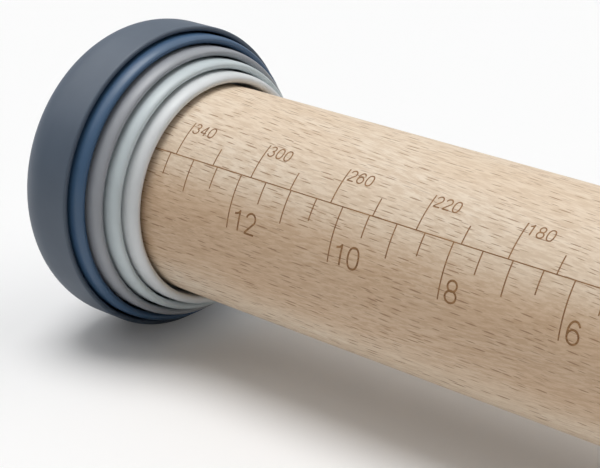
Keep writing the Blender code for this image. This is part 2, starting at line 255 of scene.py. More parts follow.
def rounded(corners, wraps):
    """An outline whose corners are turned into arcs.

    A corner is (radius, height, round). Its arc touches both sides at the round over the tangent of half
    the corner's angle, and turns evenly between. A round too large for its sides shrinks to fit.
    """
    places = np.array([corner[:2] for corner in corners])
    sizes = [corner[2] if len(corner) > 2 else 0 for corner in corners]
    runs = []
    for index, (place, size) in enumerate(zip(places, sizes)):
        at_end = not wraps and index in (0, len(places) - 1)
        if size == 0 or at_end:
            runs.append(place[None])
            continue
        before = places[index - 1] - place
        after = places[(index + 1) % len(places)] - place
        reach = ROUND_SHARE * min(np.hypot(*before), np.hypot(*after))
        before, after = before / np.hypot(*before), after / np.hypot(*after)
        half = math.acos(np.clip(before @ after, -1, 1)) / 2
        size = min(size, reach * math.tan(half))
        centre = (before + after) / np.hypot(*(before + after)) * size / math.sin(half)
        touch = size / math.tan(half)
        first, last = before * touch - centre, after * touch - centre
        sweep = math.pi - 2 * half
        share = np.linspace(0, 1, ROUND_STEPS + 1)[:, None]
        turn = (np.sin((1 - share) * sweep) * first + np.sin(share * sweep) * last) / math.sin(sweep)
        runs.append(place + centre + turn)
    return np.concatenate(runs)


def stepped(outline, wraps, near, longest):
    """An outline with points added on its straight runs.

    A run longer than four times near gets a point that far from either end, which keeps it flat beside
    its rounds, and even steps of at most longest between them.
    """
    leading = outline if wraps else outline[:-1]
    following = np.roll(outline, -1, axis=0) if wraps else outline[1:]
    runs = []
    for start, end in zip(leading, following):
        size = np.hypot(*(end - start))
        shares = np.array([0.0])
        if size > 4 * near:
            count = math.ceil((size - 2 * near) / longest)
            shares = np.concatenate([[0.0], np.linspace(near / size, 1 - near / size, count + 1)])
        runs.append(start + (end - start) * shares[:, None])
    if not wraps:
        runs.append(outline[-1:])
    return np.concatenate(runs)


def turned(corners, wraps, near, fineness, rule=None):
    """A turned surface: the radius goes along the cosine and sine of each angle, and the height along Z.

    A rule may change the radius by the angle and the height.
    """
    segments, longest = fineness
    outline = stepped(rounded(corners, wraps), wraps, near, longest)
    turn = np.arange(segments)[None, :] * TAU / segments
    radius = np.repeat(outline[:, :1], segments, axis=1)
    height = np.repeat(outline[:, 1:], segments, axis=1)
    if rule:
        radius = rule(radius, turn, height)
    return np.stack([radius * np.cos(turn), radius * np.sin(turn), height], axis=-1)


def placed(points, side):
    """Points about an end's own axis, turned a quarter about Y so that its Z points outboard."""
    out = -1 if side == "left" else 1
    return np.stack([out * points[..., 2], points[..., 1], AXIS_HEIGHT - out * points[..., 0]], axis=-1)


def shell_faces(rows, columns, wraps):
    """Faces of a grid whose columns close on themselves, and its rows too if wraps is set.

    Otherwise triangles close the first and last rows, round two points that follow the grid's own.
    """
    row = np.arange(rows if wraps else rows - 1)[:, None]
    column = np.arange(columns)
    after = (column + 1) % columns
    below = (row + 1) % rows
    row, below = row * columns, below * columns
    quads = np.stack([row + column, below + column, below + after, row + after], axis=-1).reshape(-1, 4)
    if wraps:
        return quads.tolist()
    last = (rows - 1) * columns
    pole = np.full(columns, rows * columns)
    first_cap = np.stack([pole, column, after], axis=-1)
    last_cap = np.stack([pole + 1, last + after, last + column], axis=-1)
    return quads.tolist() + first_cap.tolist() + last_cap.tolist()


def add_object(name, data):
    """Adds an object to the scene."""
    made = bpy.data.objects.new(name, data)
    bpy.context.scene.collection.objects.link(made)
    return made


def make_piece(name, shells, finish_name, body, replaced=()):
    """Makes one object, tied to the frame. A shell is a grid of points and whether its rows close."""
    points, faces = [], []
    for grid, wraps in shells:
        count = sum(map(len, points))
        faces += [[corner + count for corner in face] for face in shell_faces(*grid.shape[:2], wraps)]
        points.append(grid.reshape(-1, 3))
        if not wraps:
            points.append(np.stack([grid[0].mean(axis=0), grid[-1].mean(axis=0)]))
    mesh = bpy.data.meshes.new(name)
    mesh.from_pydata(np.concatenate(points).tolist(), [], faces)
    mesh.shade_smooth()
    mesh.set_sharp_from_angle(angle=SHARP_ANGLE)
    mesh.materials.append(finish(finish_name))
    piece = add_object(name, mesh)
    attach(piece, body)
    if replaced:
        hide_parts(*replaced)


def make_at_ends(node, body, slot, outline, fineness, rule=None, wraps=True):
    """Makes a turned piece at both ends of the pin, in place of its node.

    Points come half as near to the rounds of an outline that doesn't close on itself.
    """
    sizes = bpy.context.scene.pin_sizes
    near = sizes.small_round * (1 if wraps else 0.5)
    surface = turned(outline(sizes, node), wraps, near, fineness, rule)
    for side in SIDES:
        shell = (placed(surface, side), wraps)
        rides_on = body if body == "root" else f"{side}_{body}"
        make_piece(f"fine_{side}_{node}", [shell], slot, rides_on, [f"{side}_{node}"])


# Nodes of a material


def operator_pair(operation):
    """A Python operator and its reflected form, each of which adds a Math node."""

    def plain(self, other):
        return self.nodes.math(operation, self, other)

    def reflected(self, other):
        return self.nodes.math(operation, other, self)

    return plain, reflected


class Wire:
    """One node output that can stand in a Python sum, where each operator adds a Math node."""

    def __init__(self, nodes, socket):
        self.nodes = nodes
        self.socket = socket

    def output(self, name):
        """Another output of the same node."""
        return Wire(self.nodes, self.socket.node.outputs[name])

    __add__, __radd__ = operator_pair("ADD")
    __sub__, __rsub__ = operator_pair("SUBTRACT")
    __mul__, __rmul__ = operator_pair("MULTIPLY")
    __truediv__, __rtruediv__ = operator_pair("DIVIDE")
    __pow__, __rpow__ = operator_pair("POWER")
    __mod__, __rmod__ = operator_pair("FLOORED_MODULO")


class Nodes:
    """A node tree that is filled one call at a time."""

    def __init__(self, tree):
        self.tree = tree

    def feed(self, socket, value):
        """Links a wire to a socket, or sets the socket's own value."""
        if isinstance(value, Wire):
            self.tree.links.new(value.socket, socket)
        elif socket.type == "RGBA":
            socket.default_value = (*value, 1.0)
        else:
            socket.default_value = value

    def node(self, kind, inputs=None, output=0, **settings):
        """Adds a shader node: its settings, then the values or links of its sockets, by name or place."""
        made = self.tree.nodes.new("ShaderNode" + kind)
        for key, value in settings.items():
            setattr(made, key, value)
        for key, value in (inputs or {}).items():
            self.feed(made.inputs[key], value)
        return Wire(self, made.outputs[output])

    def math(self, operation, *values):
        """Adds a Math node."""
        return self.node("Math", dict(enumerate(values)), operation=operation)


class Finish(Nodes):
    """A material on one Principled shader."""

    def __init__(self, name, roughness, metallic=0.0):
        self.material = bpy.data.materials.new(name)
        self.material.use_nodes = True
        super().__init__(self.material.node_tree)
        self.shader = self.tree.nodes["Principled BSDF"]
        self.set("Roughness", roughness)
        self.set("Metallic", metallic)
        self.roughness = roughness
        self.place = self.node("TexCoord", output="Object")

    def set(self, name, value):
        """Links or sets one socket of the shader."""
        self.feed(self.shader.inputs[name], value)

    def parts(self, vector):
        """The three numbers of a vector."""
        x = self.node("SeparateXYZ", {0: vector})
        return x, x.output("Y"), x.output("Z")

    def vector(self, x, y, z):
        """A vector of three numbers."""
        return self.node("CombineXYZ", {"X": x, "Y": y, "Z": z})

    def noise(self, vector, scale=1.0, detail=2.0, roughness=0.5):
        """Soft random values about one half."""
        inputs = {"Vector": vector, "Scale": scale, "Detail": detail, "Roughness": roughness}
        return self.node("TexNoise", inputs)

    def smooth(self, value, low, high, start=0.0, end=1.0):
        """Goes smoothly from start to end as the value goes from low to high."""
        inputs = {0: value, 1: low, 2: high, 3: start, 4: end}
        return self.node("MapRange", inputs, interpolation_type="SMOOTHSTEP")

    def mix(self, share, first, second, blend="MIX"):
        """A colour that goes from the first to the second or, with MULTIPLY, to the first tinted by it."""
        inputs = {0: share, 6: first, 7: second}
        return self.node("Mix", inputs, 2, data_type="RGBA", blend_type=blend)

    def vary_roughness(self, spread, share):
        """Spreads the roughness evenly about its level as a share goes from 0 to 1."""
        self.set("Roughness", self.roughness - spread / 2 + share * spread)

    def bump(self, height, distance, strength):
        """Lets a height tilt the surface."""
        inputs = {"Height": height, "Distance": distance, "Strength": strength}
        self.set("Normal", self.node("Bump", inputs))


# Finishes


# The wood. A cell or a reach has a length along the grain, a depth out from the pith and a width round it.
# Edges are the noise values between which a tone changes, and shares are how much of it shows.
GRAIN_SLOPE_Y = -0.09
GRAIN_SLOPE_Z = 0.025
PITH_DISTANCE = 75 * MM
PITH_ANGLE = math.radians(-40)
TONE_CELL = (34 * MM, 6 * MM, 6 * MM)
TONE_EDGES = (0.35, 0.65)
SWAY_CELL = (45 * MM, 9 * MM, 9 * MM)
SWAY_OUT = 2.4 * MM
SWAY_ROUND = 1.6 * MM
RING_WIDTH = 3.1 * MM
RING_SHARE = 0.15
FIBRE_CELL = (4.5 * MM, 0.4 * MM, 0.4 * MM)
FIBRE_EDGES = (0.38, 0.62)
FIBRE_SHARES = (0.05, 0.7)
BURNT_EDGES = (0.35, 0.7)
FLECK_CELL = (3.4 * MM, 0.75 * MM, 0.64 * MM)
FLECK_REACH = (2.0 * MM, 0.43 * MM, 0.1 * MM)
FLECK_SCATTER = 0.8
FLECK_LEAST = 0.35
FLECK_CHANCE = 0.9
FLECK_CORE = 0.2
FLECK_FAINTEST = 0.35
FLECK_FULL = 0.8
FLECK_SHARE = 0.8
BURNT_FLECK_SHARE = 0.5
# Where the painted shade on the wood's side towards -Y begins, as a share of the roller's radius
PAINTED_SHADE_START_SHARE = 0.8
GRAIN_ROUGHNESS = 0.6
GRAIN_SPREAD = 0.16
BURNT_ROUGHNESS = 0.75

# Plastic and metal: noise patches in a metre, tint of the darker parts, and spread of the roughness
PLASTIC_CLOUDS = 140.0
PLASTIC_EDGES = (0.25, 0.75)
PLASTIC_SKIN = 3600.0
PLASTIC_SHADE = 0.93
PLASTIC_SPREAD = 0.1
PLASTIC_SPECULAR = 0.45
METAL_CLOUDS = 220.0
LATHE_MARKS = 9000.0
METAL_SHADE = 0.82
METAL_SPREAD = 0.16

# Height and strength of each bump, and how much the wood's fibres rise and its flecks sink
GRAIN_BUMP = (0.05 * MM, 0.5)
FIBRE_RISE = 0.5
FLECK_SINK = 0.2
PLASTIC_BUMP = (0.012 * MM, 0.35)
METAL_BUMP = (0.01 * MM, 0.4)


def in_cells(wood, places, cell):
    """Places in the tree, counted in cells."""
    return wood.vector(places[0] / cell[0], places[1] / cell[1], places[2] / cell[2])


def wood_grain(wood):
    """What the wood and the burnt marks have in common: broad tone, rings, fibres and flecks.

    Places in the tree run along the grain, out from the pith and round it. The grain leans off the pin's
    axis, so Y and Z are first lessened by a share of X. A ring's share grows from 0 to 1 over its width.
    A fleck is a ray: an ellipsoid round a random point. The distance from the point is divided by the
    ray's reach each way, squared and summed, and size and strength go by the cell's own chance.
    """
    x, y, z = wood.parts(wood.place)
    across = y - x * GRAIN_SLOPE_Y - PITH_DISTANCE * math.cos(PITH_ANGLE)
    up = z - x * GRAIN_SLOPE_Z - (AXIS_HEIGHT + PITH_DISTANCE * math.sin(PITH_ANGLE))
    out = wood.math("SQRT", across * across + up * up)
    round_pith = wood.math("ARCTAN2", up, across) * PITH_DISTANCE
    places = (x, out, round_pith)
    tone = wood.noise(in_cells(wood, places, TONE_CELL))
    sway = wood.noise(in_cells(wood, places, SWAY_CELL), detail=1.0) - 0.5
    swayed = (x, out + sway * SWAY_OUT, round_pith + sway * SWAY_ROUND)
    ring = (swayed[1] / RING_WIDTH) % 1.0
    fibre = wood.noise(in_cells(wood, swayed, FIBRE_CELL), detail=4.0, roughness=0.7)
    cells = in_cells(wood, swayed, FLECK_CELL)
    inputs = {"Vector": cells, "Scale": 1.0, "Randomness": FLECK_SCATTER}
    near = wood.node("TexVoronoi", inputs, "Position")
    chance, strength, _ = wood.parts(near.output("Color"))
    spans = []
    for place, point, cell, reach in zip(wood.parts(cells), wood.parts(near), FLECK_CELL, FLECK_REACH):
        spans.append((place - point) * (cell / reach))
    distance = spans[0] * spans[0] + spans[1] * spans[1] + spans[2] * spans[2]
    fleck = wood.smooth(distance / (FLECK_LEAST + chance * FLECK_CHANCE), FLECK_CORE, 1.0, 1.0, 0.0)
    fleck = fleck * wood.smooth(strength, 0.0, FLECK_FULL, FLECK_FAINTEST, 1.0)
    return tone, ring, fibre, fleck


def make_beech(name):
    """Beech: a pale and a warm tone in broad patches, faint growth rings, fine fibres and short dark rays.

    Rings show by the cube of their share. The side towards -Y gets a painted shade, darker and warmer, in
    full at the roller's edge.
    """
    colours = bpy.context.scene.pin_colours
    wood = Finish(name, GRAIN_ROUGHNESS)
    tone, ring, fibre, fleck = wood_grain(wood)
    base = wood.mix(wood.smooth(tone, *TONE_EDGES), colours.beech_pale, colours.beech_warm)
    late = ring ** 3.0 * RING_SHARE + wood.smooth(fibre, *FIBRE_EDGES, *FIBRE_SHARES)
    base = wood.mix(late, base, colours.beech_late)
    across = wood.parts(wood.place)[1]
    # Painted shade: darkens and warms the wood's side towards -Y, where the shade falls
    painted_shade = wood.smooth(across, -ROLLER_RADIUS, -PAINTED_SHADE_START_SHARE * ROLLER_RADIUS, 1.0, 0.0)
    base = wood.mix(painted_shade, base, colours.beech_heart, "MULTIPLY")
    wood.set("Base Color", wood.mix(fleck * FLECK_SHARE, base, colours.beech_fleck))
    wood.vary_roughness(GRAIN_SPREAD, fibre)
    wood.bump(fibre * FIBRE_RISE - fleck * FLECK_SINK, *GRAIN_BUMP)
    return wood.material


def make_burnt_beech(name):
    """Burnt beech: dark brown, paler on hard fibres and darker over a ray."""
    colours = bpy.context.scene.pin_colours
    wood = Finish(name, BURNT_ROUGHNESS)
    fibre, fleck = wood_grain(wood)[2:]
    base = wood.mix(wood.smooth(fibre, *BURNT_EDGES), colours.burn_dark, colours.burn_pale)
    wood.set("Base Color", wood.mix(fleck * BURNT_FLECK_SHARE, base, colours.burn_dark))
    wood.bump(fibre, *GRAIN_BUMP)
    return wood.material


def moulded(name, tint, roughness):
    """Moulded plastic: an even colour, faintly cloudy, with the fine satin texture of the mould."""
    plastic = Finish(name, roughness)
    base = getattr(bpy.context.scene.pin_colours, tint)
    plastic.set("Specular IOR Level", PLASTIC_SPECULAR)
    cloud = plastic.noise(plastic.place, PLASTIC_CLOUDS, detail=3.0)
    darker = [part * PLASTIC_SHADE for part in base]
    plastic.set("Base Color", plastic.mix(plastic.smooth(cloud, *PLASTIC_EDGES), base, darker))
    plastic.vary_roughness(PLASTIC_SPREAD, cloud)
    skin = plastic.noise(plastic.place, PLASTIC_SKIN, detail=1.0)
    plastic.bump(skin, *PLASTIC_BUMP)
    return plastic.material


def lathe_turned(name, tint, roughness):
    """Turned metal: fine rings from the lathe, which catch the light."""
    metal = Finish(name, roughness, 1.0)
    base = getattr(bpy.context.scene.pin_colours, tint)
    x, y, z = metal.parts(metal.place)
    height = z - AXIS_HEIGHT
    radius = metal.math("SQRT", y * y + height * height)
    lathe = metal.noise(metal.vector(radius * LATHE_MARKS, x * LATHE_MARKS, 0.0))
    cloud = metal.noise(metal.place, METAL_CLOUDS)
    darker = [part * METAL_SHADE for part in base]
    metal.set("Base Color", metal.mix(cloud, base, darker))
    metal.vary_roughness(METAL_SPREAD, lathe)
    metal.bump(lathe, *METAL_BUMP)
    return metal.material


# Each finish's maker, with its colour and roughness where it has one
FINISHES = {
    "beech": (make_beech,),
    "burnt_beech": (make_burnt_beech,),
    **{tint + "_plastic": (moulded, tint, 0.38) for tint in ("off_white", "mint", "grey", "blue")},
    "slate_plastic": (moulded, "slate", 0.5),
    "nylon": (moulded, "nylon", 0.5),
    "plated_steel": (lathe_turned, "steel", 0.28),
    "brass": (lathe_turned, "brass", 0.34),
}


def finish(kind):
    """The material of a finish, made when it is first asked for."""
    name = kind + "_finish"
    maker, *look = FINISHES[kind]
    return bpy.data.materials.get(name) or maker(name, *look)


# Outlines, each running down its outer side


def stud_hole(sizes):
    """Radius of every hole for the stud."""
    return sizes.stud_radius + sizes.stud_clearance


def roller_outline(sizes):
    """The roller, drilled from each end for the stud and its threaded insert."""
    insert_base, _, flange_radius = turned_size("threaded_insert")
    bore, fine = stud_hole(sizes), sizes.small_round
    drill_floor = ROLLER_END - sizes.drill_depth
    pocket = bore + sizes.insert_wall + sizes.insert_clearance
    pocket_floor = insert_base - sizes.face_clearance
    flange_pocket = flange_radius + sizes.insert_clearance
    flange_floor = ROLLER_END - sizes.insert_flange - sizes.face_clearance
    half = [
        (bore * POLE_SHARE, drill_floor), (bore, drill_floor, fine), (bore, pocket_floor, fine),
        (pocket, pocket_floor, fine), (pocket, flange_floor, fine), (flange_pocket, flange_floor, fine),
        (flange_pocket, ROLLER_END, fine), (ROLLER_RADIUS, ROLLER_END, sizes.roller_edge_round),
    ]
    return half + [(radius, -height, *size) for radius, height, *size in reversed(half)]


def rim_outline(sizes, outer, inner, rim, reach):
    """Rim of a skirt: a small round inside, and outside a quarter ellipse no deeper than it is long."""
    inner_round = min(sizes.rim_inner_round, (outer - inner) / 2)
    depth = min(outer - inner - inner_round, reach)
    outside = arc((outer - depth, rim + reach), (depth, reach), 0, -90, ARC_STEPS // 2)
    centre = (inner + inner_round, rim + inner_round)
    inside = arc(centre, (inner_round, inner_round), -90, -180, ROUND_STEPS)
    return [*outside, *inside[1:]]


def small_disc_outline(sizes, node):
    """A small spacer disc: a cup whose skirt points inboard."""
    rim, face, outer = turned_size(node)
    inner = outer - (sizes.first_disc_wall if node == "disc_1" else sizes.disc_wall)
    web = face - sizes.web_thickness
    hole, fine = stud_hole(sizes), sizes.small_round
    return [
        (hole, face, fine), (outer, face, sizes.disc_edge_round),
        *rim_outline(sizes, outer, inner, rim, sizes.rim_round_length),
        (inner, web, sizes.rim_inner_round), (hole, web, fine),
    ]


def end_disc_outline(sizes, node):
    """The end disc: a deeper cup with a large round edge and a recess for the knob."""
    rim, face, outer = turned_size(node)
    inner = outer - sizes.end_disc_wall
    web_face = turned_size("thrust_washer")[0] - sizes.face_clearance
    recess = turned_size("knob")[2] + sizes.recess_clearance
    web = web_face - sizes.web_thickness
    hole, fine = stud_hole(sizes), sizes.small_round
    edge = sizes.end_disc_edge_round
    return [
        (hole, web_face, fine), (recess, web_face, sizes.rim_inner_round),
        (recess, face, sizes.recess_edge_round),
        *arc((outer - edge, face - edge), (edge, edge), 90, 0, ARC_STEPS),
        *rim_outline(sizes, outer, inner, rim, sizes.end_disc_rim_round),
        (inner, web, sizes.rim_inner_round), (hole, web, fine),
    ]


def washer_outline(sizes, node):
    """The thrust washer between the end disc and the knob."""
    base, top, outer = turned_size(node)
    hole = stud_hole(sizes)
    corners = [(hole, top), (outer, top), (outer, base), (hole, base)]
    return [(*corner, sizes.small_round) for corner in corners]


def insert_outline(sizes, node):
    """The threaded insert: a tube with a flange, flush with the roller's end."""
    base, top, flange = turned_size(node)
    bore, fine = stud_hole(sizes), sizes.small_round
    outer, under = bore + sizes.insert_wall, top - sizes.insert_flange
    return [
        (bore, top, sizes.insert_mouth), (flange, top, fine), (flange, under, fine),
        (outer, under, fine), (outer, base, fine), (bore, base, fine),
    ]


def cap_seat(sizes):
    """Radius and height of the seat that the cap drops into."""
    base, _, radius = turned_size("knob_cap")
    return radius + sizes.cap_clearance, base - sizes.face_clearance


def head_pocket(sizes):
    """Radius to the corners of the pocket for the stud's head, and the height of its floor."""
    top = turned_size("knob_stud")[1]
    corner = (sizes.head_flats / 2 + sizes.head_clearance) / math.cos(HALF_HEX)
    return corner, top - sizes.head_height - sizes.head_clearance


def knob_outline(sizes, node):
    """The knob, with a pocket for the stud's head and a seat for the cap."""
    base, face, outer = turned_size(node)
    seat_radius, seat = cap_seat(sizes)
    pocket, floor = head_pocket(sizes)
    hole, fine = stud_hole(sizes), sizes.small_round
    return [
        (seat_radius, face, fine), (outer, face, sizes.knob_edge_round),
        (outer, base, sizes.knob_base_round), (hole, base, fine), (hole, floor, fine),
        (pocket, floor), (pocket, seat), (seat_radius, seat),
    ]


def cap_outline(sizes, node):
    """The cap, from the middle of its face to the middle of its back."""
    base, face, outer = turned_size(node)
    return [
        (outer * CAP_POLE_SHARE, face), (outer, face, sizes.cap_edge_round),
        (outer, base, sizes.small_round), (outer * CAP_POLE_SHARE, base),
    ]


def stud_outline(sizes, node):
    """The stud, from the top of its hexagonal head to its tip."""
    tip, top, _ = turned_size(node)
    corner = sizes.head_flats / 2 / math.cos(HALF_HEX)
    radius, under = sizes.stud_radius, top - sizes.head_height
    return [
        (radius * POLE_SHARE, top), (sizes.head_flats / 2, top), (corner, top - sizes.head_chamfer),
        (corner, under), (radius, under, sizes.small_round),
        (radius, tip + sizes.tip_chamfer), (radius - sizes.tip_chamfer, tip), (radius * POLE_SHARE, tip),
    ]


# Rules that change a radius


def thread_share(sizes, turn, height):
    """Depth of the thread, 0 on a crest and 1 in a root.

    It is half of one less a cosine, whose angle is the height in turns of the pitch less the turn.
    """
    return (1 - np.cos(TAU * height / sizes.thread_pitch - turn)) / 2


def hexagon(flats, turn):
    """Distance to a hexagon's side: half the flats over the cosine of the angle from the side's middle."""
    return flats / 2 / np.cos((turn + HALF_HEX) % (2 * HALF_HEX) - HALF_HEX)


def stud_rule(radius, turn, height):
    """The head is cut to a hexagon, and the thread is cut in by its depth, fading out at either end."""
    sizes = bpy.context.scene.pin_sizes
    start = ROLLER_END + sizes.thread_runout
    inside = np.minimum(start - height, height - start + sizes.thread_length)
    cut = thread_share(sizes, turn, height) * smooth_share(0, sizes.thread_runout, inside)
    return np.minimum(radius, hexagon(sizes.head_flats, turn)) - sizes.thread_depth * cut


def insert_rule(radius, turn, height):
    """The bore is cut outward wherever the stud's thread stands high, fading out at either end."""
    sizes = bpy.context.scene.pin_sizes
    base, top, _ = turned_size("threaded_insert")
    inside = np.minimum(top - sizes.insert_mouth - height, height - base - sizes.small_round)
    cut = (1 - thread_share(sizes, turn, height)) * smooth_share(0, sizes.thread_runout, inside)
    on_bore = radius < stud_hole(sizes) + sizes.small_round / 2
    return radius + sizes.insert_thread_depth * cut * on_bore


def knob_rule(radius, turn, height):
    """Scallops deepen towards the face as a cosine of the angle, and the head's pocket is a hexagon.

    The pocket draws what surrounds it in, evenly less towards the hole and towards the cap's seat.
    """
    sizes = bpy.context.scene.pin_sizes
    _, face, outer = turned_size("knob")
    end_face = turned_size(END_DISC)[1]
    seat_radius = cap_seat(sizes)[0]
    pocket = head_pocket(sizes)[0]
    hole = stud_hole(sizes)
    deep = np.clip((height - end_face) / (face - sizes.knob_edge_round - end_face), 0, 1)
    deep = deep * smooth_share(seat_radius, outer - sizes.knob_edge_round, radius)
    scallop = sizes.scallop_depth / outer * (1 + np.cos(sizes.scallops * turn)) / 2 * deep
    share = np.clip((radius - hole) / (pocket - hole), 0, 1)
    share = share - np.clip((radius - pocket) / (seat_radius - pocket), 0, 1)
    drawn = pocket - hexagon(sizes.head_flats + 2 * sizes.head_clearance, turn)
    return radius * (1 - scallop) - share * drawn


# The scale


FIGURE_WIDTH_SHARE = 0.66
FIGURE_SIZES = ("foot", "height", "gap", "pitch", "stroke")


def bowed(points, exponent):
    """A circle drawn towards the corners: cosine and sine are raised to two over the exponent."""
    return np.sign(points) * np.abs(points) ** (2 / exponent)


def figure_strokes():
    """Strokes of each figure, in a cell one wide and one high: their points, and whether they close."""
    circle = arc((0, 0), (1, 1), 0, 360, 2 * ARC_STEPS)[:-1]
    two = np.concatenate([arc((0.5, 0.71), (0.46, 0.29), 172, -30, ARC_STEPS), [(0.04, 0.03)]])
    six = np.concatenate([[(0.02, 0.31)], arc((0.53, 0.5), (0.51, 0.5), 180, 35, ARC_STEPS)])
    return {
        "0": [(0.5 + 0.5 * bowed(circle, 2.35), True)],
        "1": [([(0.56, 1.0), (0.56, 0.0)], False), (arc((0.06, 1.0), (0.5, 0.2), -90, 0, 10), False)],
        "2": [(two, False), ([(0.0, 0.0), (1.0, 0.0)], False)],
        "3": [
            (arc((0.48, 0.765), (0.42, 0.235), 165, -90, ARC_STEPS), False),
            (arc((0.48, 0.265), (0.5, 0.265), 90, -168, ARC_STEPS), False),
        ],
        "4": [
            ([(0.74, 1.0), (0.74, 0.0)], False), ([(0.74, 1.0), (0.0, 0.27)], False),
            ([(0.0, 0.27), (1.0, 0.27)], False),
        ],
        "6": [(circle * (0.48, 0.31) + (0.5, 0.31), True), (six, False)],
        "8": [(circle * (0.41, 0.245) + (0.5, 0.755), True), (circle * (0.49, 0.27) + (0.5, 0.27), True)],
    }


def mark(scale, path, wraps, width, layer=0):
    """A bar of even width along a path on the roller, as a grid of its four edges.

    A point is a place along the pin and one round it, up from the base line. The path's direction is the
    difference of a point's neighbours, and the bar's sides lie half the width away at a quarter turn. The
    angle round the roller is the base angle less the place over the roller's radius.
    """
    path = stepped(np.asarray(path, float), wraps, MARK_STEP / 4, MARK_STEP)
    if wraps:
        along = np.roll(path, -1, axis=0) - np.roll(path, 1, axis=0)
    else:
        along = np.gradient(path, axis=0)
    along /= np.hypot(along[:, 0], along[:, 1])[:, None]
    side = np.stack([-along[:, 1], along[:, 0]], axis=-1) * width / 2
    edges = np.stack([path - side, path + side, path + side, path - side], axis=1)
    top = scale.burn_lip + layer * scale.layer_step
    radius = ROLLER_RADIUS + np.array([top, top, -scale.burn_depth, -scale.burn_depth])
    turn = scale.base_angle - edges[..., 1] / ROLLER_RADIUS
    grid = np.stack([edges[..., 0], radius * np.cos(turn), AXIS_HEIGHT + radius * np.sin(turn)], axis=-1)
    return grid, wraps


def metric_marks(scale):
    """The metric marks: place, reach of the tick, and the number on every other one."""
    for index in range(round(scale.metric_widest / scale.metric_step) + 1):
        width = index * scale.metric_step
        reach, number = (scale.metric_long, round(width / MM)) if index % 2 else (scale.metric_short, None)
        yield width / 2, reach, number


def inch_marks(scale):
    """The inch marks: place, reach of the tick, and the number on every fourth but the middle."""
    reaches = (scale.inch_long, scale.inch_short, scale.inch_middle, scale.inch_short)
    for index in range(round(scale.widest_inches * 2) + 1):
        number = None if index % 4 else index // 2
        yield index * scale.inch / 4, reaches[index % 4], number


def number_marks(scale, kind, up, number, place):
    """The strokes of one number, which stands on the middle's side of its tick."""
    foot, height, gap, pitch, stroke = (getattr(scale, f"{kind}_{size}") for size in FIGURE_SIZES)
    strokes = figure_strokes()
    width = height * FIGURE_WIDTH_SHARE
    figures = str(number)
    left = place + gap if place < 0 else place - gap - (len(figures) - 1) * pitch - width
    shells = []
    for index, figure in enumerate(figures):
        corner = np.array([left + index * pitch, up * foot]) + stroke / 2
        for layer, (points, wraps) in enumerate(strokes[figure]):
            path = corner + np.array(points) * (width - stroke, height - stroke)
            shells.append(mark(scale, path, wraps, stroke, layer))
    return shells


def burn(name, shells):
    """Makes one piece of burnt marks."""
    make_piece(name, shells, "burnt_beech", "root")


def burn_scale(kind, up, marks):
    """Burns one scale on both sides of the middle, above the base line if up is 1 and below it if -1."""
    scale = bpy.context.scene.pin_scale
    ticks, figures = [], []
    for away, reach, number in marks(scale):
        for place in sorted({-away, away}):
            ticks.append(mark(scale, [(place, 0), (place, up * reach)], False, scale.tick_width))
            if number:
                figures += number_marks(scale, kind, up, number, place)
    burn(kind + "_ticks", ticks)
    burn(kind + "_figures", figures)


# Operators


class PinStep:
    """What every operator here shares."""

    bl_options = {"REGISTER", "UNDO"}


class ROLLING_PIN_OT_roller(PinStep, bpy.types.Operator):
    """Make the wooden roller"""

    bl_idname = "rolling_pin.roller"
    bl_label = "Roller"

    def execute(self, context):
        sizes = context.scene.pin_sizes
        surface = turned(roller_outline(sizes), False, sizes.small_round, ROLLER_FINENESS)
        shell = (placed(surface, "right"), False)
        make_piece("fine_roller", [shell], "beech", "root", ["roller_body"])
        return {"FINISHED"}


class ROLLING_PIN_OT_metric_scale(PinStep, bpy.types.Operator):
    """Burn the base line and the metric ticks and figures"""

    bl_idname = "rolling_pin.metric_scale"
    bl_label = "Metric scale"

    def execute(self, context):
        scale = context.scene.pin_scale
        line = mark(scale, [(-scale.line_reach, 0), (scale.line_reach, 0)], False, scale.base_width, 1)
        burn("scale_base_line", [line])
        burn_scale("metric", 1, metric_marks)
        return {"FINISHED"}


class ROLLING_PIN_OT_inch_scale(PinStep, bpy.types.Operator):
    """Burn the inch ticks and figures"""

    bl_idname = "rolling_pin.inch_scale"
    bl_label = "Inch scale"

    def execute(self, context):
        burn_scale("inch", -1, inch_marks)
        return {"FINISHED"}


class ROLLING_PIN_OT_inserts(PinStep, bpy.types.Operator):
    """Make the threaded inserts in the roller's ends"""

    bl_idname = "rolling_pin.inserts"
    bl_label = "Threaded inserts"

    def execute(self, context):
        make_at_ends("threaded_insert", "root", "brass", insert_outline, INSERT_FINENESS, insert_rule)
        return {"FINISHED"}


class ROLLING_PIN_OT_small_discs(PinStep, bpy.types.Operator):
    """Make the four small spacer discs of each end"""

    bl_idname = "rolling_pin.small_discs"
    bl_label = "Small discs"

    def execute(self, context):
        for number, slot in enumerate(DISC_FINISHES[:-1], 1):
            node = f"disc_{number}"
            make_at_ends(node, node, slot, small_disc_outline, DISC_FINENESS)
        return {"FINISHED"}


class ROLLING_PIN_OT_end_discs(PinStep, bpy.types.Operator):
    """Make the large disc that closes each end"""

    bl_idname = "rolling_pin.end_discs"
    bl_label = "End discs"

    def execute(self, context):
        make_at_ends(END_DISC, END_DISC, DISC_FINISHES[-1], end_disc_outline, DISC_FINENESS)
        return {"FINISHED"}


class ROLLING_PIN_OT_washers(PinStep, bpy.types.Operator):
    """Make the thrust washers under the knobs"""

    bl_idname = "rolling_pin.washers"
    bl_label = "Thrust washers"

    def execute(self, context):
        make_at_ends("thrust_washer", "thrust_washer", "nylon", washer_outline, SMALL_FINENESS)
        return {"FINISHED"}


class ROLLING_PIN_OT_studs(PinStep, bpy.types.Operator):
    """Make the threaded studs of the knobs"""

    bl_idname = "rolling_pin.studs"
    bl_label = "Studs"

    def execute(self, context):
        make_at_ends("knob_stud", "knob", "plated_steel", stud_outline, STUD_FINENESS, stud_rule, False)
        return {"FINISHED"}


